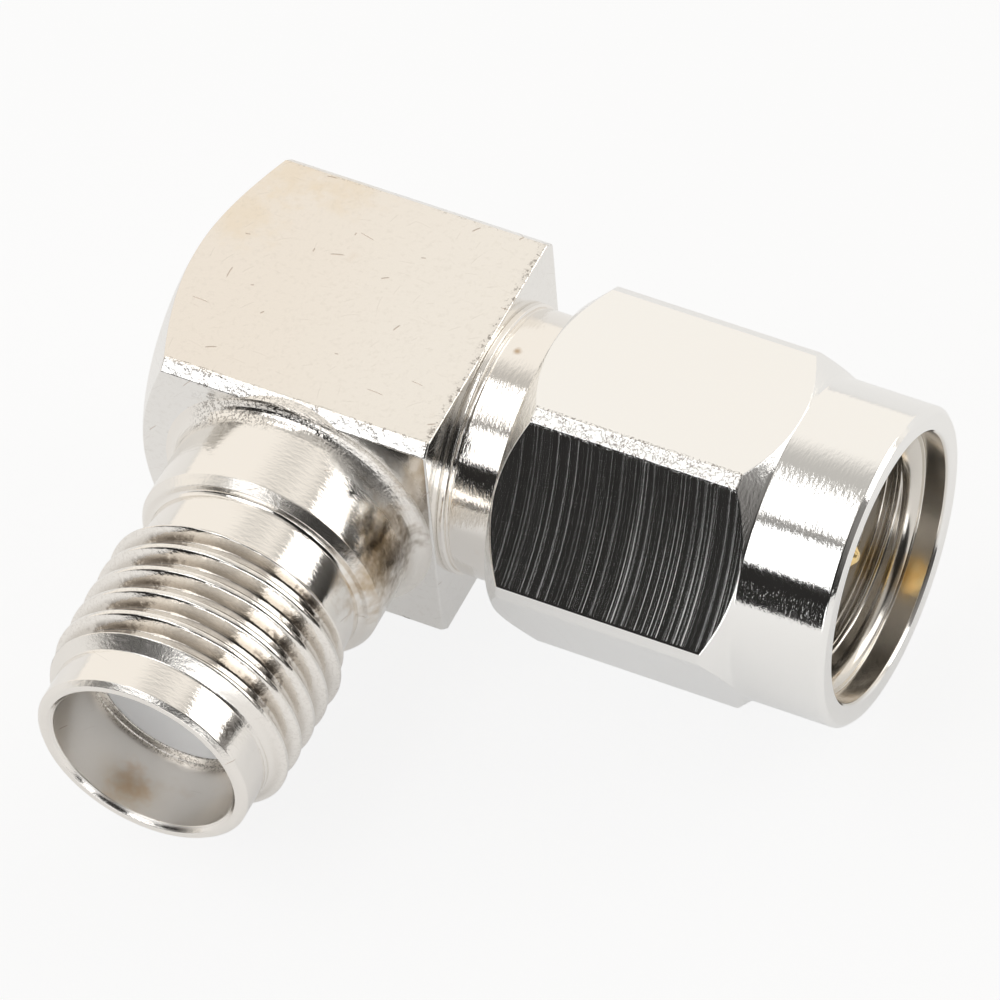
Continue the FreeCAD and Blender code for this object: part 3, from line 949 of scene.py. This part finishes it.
def make_barrel_nickel():
    """Turned nickel of the boss and lead-in, grainy thread with painted shade in its roots, dull bore.
    """
    finish = Finish("nickel_turned_barrel", BRIGHT_TONE_WARM, 0.10)
    board = finish.board
    radius = distance_from_jack_axis(finish)
    grain = board.group(TUMBLED, Place=finish.place, Grain=7.0)
    add_nicks(finish, 0.10)
    add_stains(finish, 0.25)

    # Painted shade in the thread's grooves, darker in two runs, and creases over the whole thread
    thread_start = JACK_REACH - THREAD_FRONT
    thread_end = JACK_REACH - THREAD_BACK
    outside = board.ramp(radius, JACK_BORE + 0.22, JACK_BORE + 0.26)
    on_thread = board.product(
        outside,
        board.window(finish.y, (thread_start + 0.15, thread_start + 0.35),
                     (thread_end - 0.30, thread_end - 0.10)),
    )
    # Painted shade: the thread's roots are darkened all round
    shaded_root = board.product(on_thread, board.ramp(radius, CREST - 0.08, THREAD_ROOT + 0.08))
    finish.tint(shaded_root, 0.55, SHADE_AND_DARK_MARKS)
    # Painted shade: two runs of the roots, above the middle on either side, are darkened further
    uneven = board.math("MULTIPLY_ADD", grain["Height"], 1.5, finish.x)
    left_shaded_run = board.window(uneven, (-2.0, -1.55), (-1.05, -0.6))
    right_shaded_run = board.window(uneven, (2.0, 2.2), (2.35, 2.55))
    above = board.ramp(finish.z, 0.8, 1.2)
    finish.tint(board.product(shaded_root, left_shaded_run, above), 0.75, GRIME_AND_PAINTED_SHADE)
    finish.tint(board.product(shaded_root, right_shaded_run, above), 0.65, GRIME_AND_PAINTED_SHADE)
    finish.tint(board.product(on_thread, grain["Crease"]), 0.22, SHADE_AND_DARK_MARKS)

    # Duller rims at the mouth, at the thread's first chamfer and at the front of the boss
    boss_start = JACK_REACH - BOSS_FRONT
    plain = board.product(
        board.ramp(finish.y, MOUTH_BEVEL - 0.02, MOUTH_BEVEL + 0.02),
        board.inverse(board.window(finish.y, (thread_start - 0.05, thread_start),
                                   (thread_start + 0.29, thread_start + 0.35))),
        board.inverse(board.window(finish.y, (boss_start - 0.05, boss_start - 0.01),
                                   (boss_start + 0.23, boss_start + 0.29))),
    )
    rims = board.product(board.inverse(plain), board.ramp(radius, JACK_BORE + 0.06, JACK_BORE + 0.12))
    finish.roughen(rims, 0.15)

    # Rough plate in the cove on the left, satin plate on the right
    cove_start = BLOCK_FACE - COVE
    cove_zone = board.ramp(finish.y, cove_start - 0.20, cove_start + 0.10)
    rough_cove = board.product(cove_zone, upper_left_of_boss(finish))
    creased = board.product(rough_cove, grain["Crease"], board.ramp(finish.x, 0.2, -0.8, 0.3, 1.0))
    finish.tint(creased, 0.8, GRIME_AND_PAINTED_SHADE)
    satin_zone = board.ramp(finish.y, cove_start - 0.55, cove_start - 0.10)
    satin_cove = board.product(satin_zone, board.ramp(finish.x, 0.8, 1.6))
    finish.roughen(satin_cove, 0.25)

    # A speckled painted dark reflection on the lead-in, and on the boss a brown film, partly painted
    # shade, with a painted dark middle
    # Painted dark reflection: a speckled dark patch on the lead-in
    lead_in_dark_reflection = board.product(outside, finish.spot((2.1, 0.55, 1.75), 0.40))
    finish.tint(board.product(lead_in_dark_reflection, board.ramp(grain["Height"], -0.06, 0.03)), 0.75, GRIME_AND_PAINTED_SHADE)
    # On the boss's side toward the plug, a brown film that is partly stain and partly painted shade,
    # with a painted dark middle
    finish.tint(board.product(outside, finish.spot((2.95, 7.0, 0.9), 1.8)), 0.9, BROWN_FILM_AND_SHADE)
    finish.tint(board.product(outside, finish.spot((3.20, 7.5, 0.5), 1.1)), 0.9, GRIME_AND_PAINTED_SHADE)

    # Dull bore, with a rusty spot and a dirty ring at its bottom
    bore = board.inverse(board.ramp(radius, JACK_BORE + 0.02, JACK_BORE + 0.08))
    bottom = JACK_REACH - JACK_PLANE
    at_bottom = board.ramp(finish.y, bottom - 0.21, bottom - 0.03)
    finish.roughen(bore, 0.20)
    finish.tint(board.product(bore, finish.spot((-0.84, 0.71, -2.2), 0.75)), 0.6, RUST)
    finish.tint(board.product(bore, at_bottom, grain["Crease"]), 0.7, GRIME_AND_PAINTED_SHADE)

    grain_height = board.total(
        board.product(on_thread, 0.002),
        board.product(rough_cove, 0.013),
        board.product(satin_cove, 0.014),
        board.product(rims, 0.007),
        0.0014,
    )
    finish.raise_by(grain["Height"], grain_height)
    finish.raise_by(finish.drawn_grain((1.0, 3.0, 1.0), 4.5), board.product(outside, 0.0042))
    return finish.finished(1.0)


def make_nut_nickel():
    """Bright nickel of the nut: milled lines across its flats and a brushed, turned skirt."""
    finish = Finish("nickel_milled_nut", BRIGHT_TONE, 0.08)
    board = finish.board
    radius = distance_from_plug_axis(finish)
    grain = board.group(TUMBLED, Place=finish.place, Grain=6.5)
    brushed = finish.drawn_grain((3.0, 1.0, 1.0), 4.0)
    add_stains(finish, 0.10)

    # Arcs of a milling cutter. A shift by side gives each flat its own lines.
    from_axis = board.math("SUBTRACT", JACK_REACH, finish.y)
    angle = board.math("ADD", board.math("ARCTAN2", from_axis, finish.z), NUT_TURN)
    within = board.math("WRAP", angle, math.pi / 6, -math.pi / 6)
    side = board.math("ROUND", board.math("DIVIDE", board.math("SUBTRACT", angle, within), math.pi / 3))
    across_flat = board.product(board.math("TANGENT", within), NUT_FLAT)
    cutter_bend = 0.036
    swept = board.math("MULTIPLY_ADD", board.product(across_flat, across_flat), cutter_bend, finish.x)
    shifted = board.math("MULTIPLY_ADD", side, 5.7, swept)
    lines = board.group(TOOL_MARKS, Along=shifted, Lines=10.0)

    # The lines on the flats, the top flat worn nearly smooth
    from_flat = board.math("MULTIPLY", radius, board.math("COSINE", within))
    on_flat = board.product(board.ramp(from_flat, NUT_FLAT - 0.04, NUT_FLAT - 0.01),
                            board.ramp(radius, NUT_CORNER - 0.02, NUT_CORNER - 0.04),
                            board.ramp(finish.x, HEX_END, HEX_END - 0.05))
    worn_smooth = board.ramp(board.math("ABSOLUTE", side), 0.6, 0.4)
    lined = board.product(on_flat, board.math("MULTIPLY_ADD", worn_smooth, -0.92, 1.0))
    finish.roughen(board.product(lined, lines["Streak"]), 0.15)
    finish.raise_by(board.product(lined, lines["Height"]), 0.003)

    # Creased strip on the turned corner nearest the camera
    strip = board.product(board.ramp(radius, NUT_CORNER - 0.045, NUT_CORNER - 0.02),
                          board.ramp(finish.x, HEX_END, HEX_END - 0.3),
                          board.ramp(finish.z, 2.4, 2.7), board.ramp(finish.y, 11.5, 11.0))
    finish.tint(board.product(strip, grain["Crease"]), 0.85, GRIME_AND_PAINTED_SHADE)
    finish.roughen(strip, 0.06)
    finish.raise_by(grain["Height"], board.math("MULTIPLY_ADD", strip, 0.016, 0.0006))

    # Brushed skirt and chamfers
    round_parts = board.inverse(board.ramp(from_flat, NUT_FLAT - 0.015, NUT_FLAT - 0.002))
    off_flats = board.math("MAXIMUM", round_parts, board.ramp(finish.x, HEX_END - 0.05, HEX_END))
    outside = board.ramp(radius, 3.50, 3.60)
    finish.raise_by(brushed, board.product(off_flats, outside, 0.0045))
    chamfer = board.product(off_flats, board.ramp(radius, SKIRT + 0.04, SKIRT + 0.09))
    finish.roughen(chamfer, 0.14)
    finish.raise_by(brushed, board.product(chamfer, 0.008))

    # Painted shade inside: warmer and darker there, and duller, with one golden spot low in the mouth
    inside = board.ramp(radius, NUT_BORE + 0.06, NUT_BORE + 0.01)
    finish.tint(inside, 0.40, INSIDE_SHADE_TONE)
    finish.roughen(inside, 0.10)
    finish.tint(board.product(inside, finish.spot((13.28, 13.9, -2.77), 0.7)), 0.7, GOLDEN_SPOT)
    return finish.finished(1.0)


def make_sleeve_nickel():
    """Turned nickel of the ferrule, brushed round, with a small brown spot on the collar."""
    finish = Finish("nickel_turned_sleeve", BRIGHT_TONE_WARM, 0.09)
    add_stains(finish, 0.3)
    finish.tint(finish.spot((4.19, 12.22, 3.32), 0.16), 0.8, BROWN_SPOT)
    finish.raise_by(finish.drawn_grain((3.0, 1.0, 1.0), 4.5), 0.006)
    add_lines(finish, finish.x, 8.0, 0.0006)
    return finish.finished(1.0)


def make_cap_nickel():
    """Stamped nickel disc with a fine rolled grain."""
    finish = Finish("nickel_pressed_cap", BLOCK_TONE, 0.14)
    finish.raise_by(add_nicks(finish, 0.3), -NICK_DEPTH)
    add_stains(finish, 0.3)
    finish.raise_by(finish.drawn_grain((0.3, 1.0, 3.0), 4.0), 0.002)
    return finish.finished(1.0)


def make_gold():
    """Soft gold plate with turning lines and a little wear."""
    finish = Finish("gold_plate", (0.96, 0.72, 0.34, 1.0), 0.16)
    add_patches(finish, 0.5, 0.35, 0.7, (0.82, 0.56, 0.24, 1.0), 0.10)
    add_lines(finish, finish.board.math("ADD", finish.x, finish.y), 14.0, 0.001)
    return finish.finished(1.0)


def make_insulator_white():
    """Waxy white insulator, faced with a knife tool."""
    finish = Finish("insulator_white", (0.93, 0.94, 0.955, 1.0), 0.36)
    add_patches(finish, 0.9, 0.25, 0.6, (0.76, 0.77, 0.79, 1.0), 0.2)
    add_lines(finish, distance_from_jack_axis(finish), 7.0, 0.002)
    return finish.finished(0.0)


def make_rubber():
    """Matt red-brown rubber with a fine grain."""
    finish = Finish("gasket_rubber_red", (0.33, 0.07, 0.035, 1.0), 0.6)
    add_patches(finish, 0.8, 0.4, 0.8, (0.22, 0.06, 0.04, 1.0), 0.15)
    grain = finish.board.group(TUMBLED, Place=finish.place, Grain=18.0)
    finish.raise_by(grain["Height"], 0.004)
    return finish.finished(0.0)


def make_spring_wire():
    """Drawn bronze wire with lengthwise lines."""
    finish = Finish("spring_bronze_wire", (0.66, 0.38, 0.20, 1.0), 0.3)
    add_patches(finish, 1.0, 0.3, 0.8, (0.34, 0.20, 0.12, 1.0), 0.2)
    add_lines(finish, finish.x, 20.0, 0.003)
    return finish.finished(1.0)


block_nickel = make_block_nickel()
barrel_nickel = make_barrel_nickel()
nut_nickel = make_nut_nickel()
sleeve_nickel = make_sleeve_nickel()
cap_nickel = make_cap_nickel()
gold = make_gold()
insulator_white = make_insulator_white()
rubber = make_rubber()
spring_wire = make_spring_wire()


def dress(piece, material, body, slot, *nodes):
    """Give a piece its finish, its body, and the node that it stands for."""
    piece.data.materials.clear()
    piece.data.materials.append(material)
    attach(piece, body)
    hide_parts(*nodes)


dress(make_block(), block_nickel, "base", "nickel_plate", "elbow_body")
dress(make_jack_barrel(), barrel_nickel, "base", "nickel_plate", "elbow_body")
dress(make_nut(), nut_nickel, "nut", "nickel_plate", "coupling_nut")
dress(make_ferrule(), sleeve_nickel, "base", "nickel_plate", "plug_ferrule")
dress(make_plug_insulator(), insulator_white, "base", "insulator", "plug_insulator")
dress(make_plug_pin(), gold, "base", "gold_plate", "plug_pin")
dress(make_jack_insulator(), insulator_white, "base", "insulator", "jack_insulator")
dress(make_jack_contact(), gold, "base", "gold_plate", "jack_contact")
dress(make_cap(), cap_nickel, "base", "nickel_plate", "access_cap")
dress(make_gasket(), rubber, "base", "gasket_rubber", "gasket")

ring_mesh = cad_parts["retaining_ring"].data
ring_mesh.materials.clear()
ring_mesh.materials.append(spring_wire)


# Studio


def seen_as_backdrop(board):
    """Share of plain white in the floor: most for the camera, some in the metal, none as light."""
    camera_share = 0.86
    metal_share = 0.37
    path = board.tree.nodes.new("ShaderNodeLightPath")
    straight = board.product(path.outputs["Is Camera Ray"], camera_share)
    mirrored = board.product(path.outputs["Is Glossy Ray"], metal_share)
    return board.math("MAXIMUM", straight, mirrored)


def make_floor():
    """Plain white floor, which shows white and keeps the object's shadow."""
    mesh = bpy.data.meshes.new("floor")
    reach = 0.6
    corners = [(x, y, FLOOR_HEIGHT) for x, y in (
        (-reach, -reach), (reach, -reach), (reach, reach), (-reach, reach),
    )]
    mesh.from_pydata(corners, [], [(0, 1, 2, 3)])
    floor = bpy.data.objects.new("floor", mesh)
    bpy.context.scene.collection.objects.link(floor)
    material = bpy.data.materials.new("floor_white")
    material.use_nodes = True
    tree = material.node_tree
    shader = tree.nodes["Principled BSDF"]
    shader.inputs["Base Color"].default_value = (0.96, 0.96, 0.96, 1.0)
    shader.inputs["Roughness"].default_value = 0.9
    shader.inputs["Specular IOR Level"].default_value = 0.0
    glow = tree.nodes.new("ShaderNodeEmission")
    glow.inputs["Color"].default_value = WHITE
    blend = tree.nodes.new("ShaderNodeMixShader")
    tree.links.new(seen_as_backdrop(Board(tree)), blend.inputs[0])
    tree.links.new(shader.outputs[0], blend.inputs[1])
    tree.links.new(glow.outputs[0], blend.inputs[2])
    tree.links.new(blend.outputs[0], tree.nodes["Material Output"].inputs["Surface"])
    mesh.materials.append(material)


def make_world():
    """Warm white sweep behind and to the left, a half-bright ceiling, a dark room in front.

    The room turns grey on the right, and grey in the gap between the front and overhead lamps.
    """
    world = bpy.data.worlds.new("studio")
    bpy.context.scene.world = world
    world.use_nodes = True
    tree = world.node_tree
    tree.nodes.clear()
    board = Board(tree)
    way = tree.nodes.new("ShaderNodeTexCoord").outputs["Generated"]
    height = board.split(way)[2]
    behind = board.vector_math("DOT_PRODUCT", way, (-0.62, 0.78, 0.0))
    to_the_right = board.vector_math("DOT_PRODUCT", way, (0.84, 0.54, 0.0))
    tone = board.mix(board.ramp(height, 0.72, 0.85), DARK_ROOM, GAP_TONE)
    tone = board.mix(board.ramp(to_the_right, 0.55, 0.85), tone, RIGHT_TONE)
    tone = board.mix(board.ramp(behind, -0.15, 0.3), tone, SWEEP_TONE)
    tone = board.mix(board.ramp(height, 0.78, 0.93), tone, CEILING_TONE)
    path = tree.nodes.new("ShaderNodeLightPath")
    tone = board.mix(path.outputs["Is Camera Ray"], tone, WHITE)
    ground = tree.nodes.new("ShaderNodeBackground")
    board.feed(ground.inputs["Color"], tone)
    ground.inputs["Strength"].default_value = 1.0
    output = tree.nodes.new("ShaderNodeOutputWorld")
    tree.links.new(ground.outputs[0], output.inputs["Surface"])


def make_panel(name, way, width, height, radiance, tone):
    """Soft light panel that faces the object."""
    light = bpy.data.lights.new(name, "AREA")
    light.shape = "RECTANGLE"
    light.size = width
    light.size_y = height
    light.energy = radiance * math.pi * width * height
    light.color = tone
    lamp = bpy.data.objects.new(name, light)
    bpy.context.scene.collection.objects.link(lamp)
    middle = Vector((3 * MM, 6 * MM, 0))
    direction = Vector(way).normalized()
    lamp.location = middle + direction * PANEL_DISTANCE
    lamp.rotation_euler = direction.to_track_quat("Z", "X").to_euler()


def make_camera():
    """Camera at the photograph's angle, far off with a long lens.

    The crossing of the two axes lies at the given point of the picture, in pixels from its
    left and top. The distance is in millimetres.
    """
    turn = math.radians(29.552)
    rise = math.radians(51.539)
    roll = math.radians(-5.427)
    distance = 244.1
    focal_pixels = 10178.6
    picture = 1000
    crossing_x = 363.308
    crossing_y = 393.111
    sensor = 36.0
    back = Vector((
        math.sin(turn) * math.cos(rise),
        -math.cos(turn) * math.cos(rise),
        math.sin(rise),
    ))
    level = Vector((math.cos(turn), math.sin(turn), 0.0))
    up = back.cross(level)
    right = level * math.cos(roll) + up * math.sin(roll)
    top = up * math.cos(roll) - level * math.sin(roll)
    across = (crossing_x - picture / 2) / focal_pixels * distance
    above = -(crossing_y - picture / 2) / focal_pixels * distance
    place = back * distance - right * across - top * above + Vector((0, JACK_REACH, 0))
    data = bpy.data.cameras.new("camera")
    data.sensor_width = sensor
    data.lens = focal_pixels / picture * sensor
    data.clip_start = 0.02
    data.clip_end = 5.0
    camera = bpy.data.objects.new("camera", data)
    bpy.context.scene.collection.objects.link(camera)
    camera.matrix_world = Matrix((
        (right.x, top.x, back.x, place.x * MM),
        (right.y, top.y, back.y, place.y * MM),
        (right.z, top.z, back.z, place.z * MM),
        (0.0, 0.0, 0.0, 1.0),
    ))
    bpy.context.scene.camera = camera


make_floor()
make_world()
make_panel("overhead_strip", (-0.29, -0.13, 0.95), 0.058, 0.20, 2.0, WHITE[:3])
make_panel("front_box", (-0.292, -0.689, 0.663), 0.14, 0.20, 1.8, WHITE[:3])
make_panel("right_box", (0.72, 0.52, 0.46), 0.17, 0.20, 1.8, (1.0, 0.99, 0.97))
make_panel("low_front_box", (0.22, -0.965, 0.145), 0.09, 0.24, 1.9, WHITE[:3])
make_camera()

bpy.context.scene.view_settings.view_transform = "Standard"
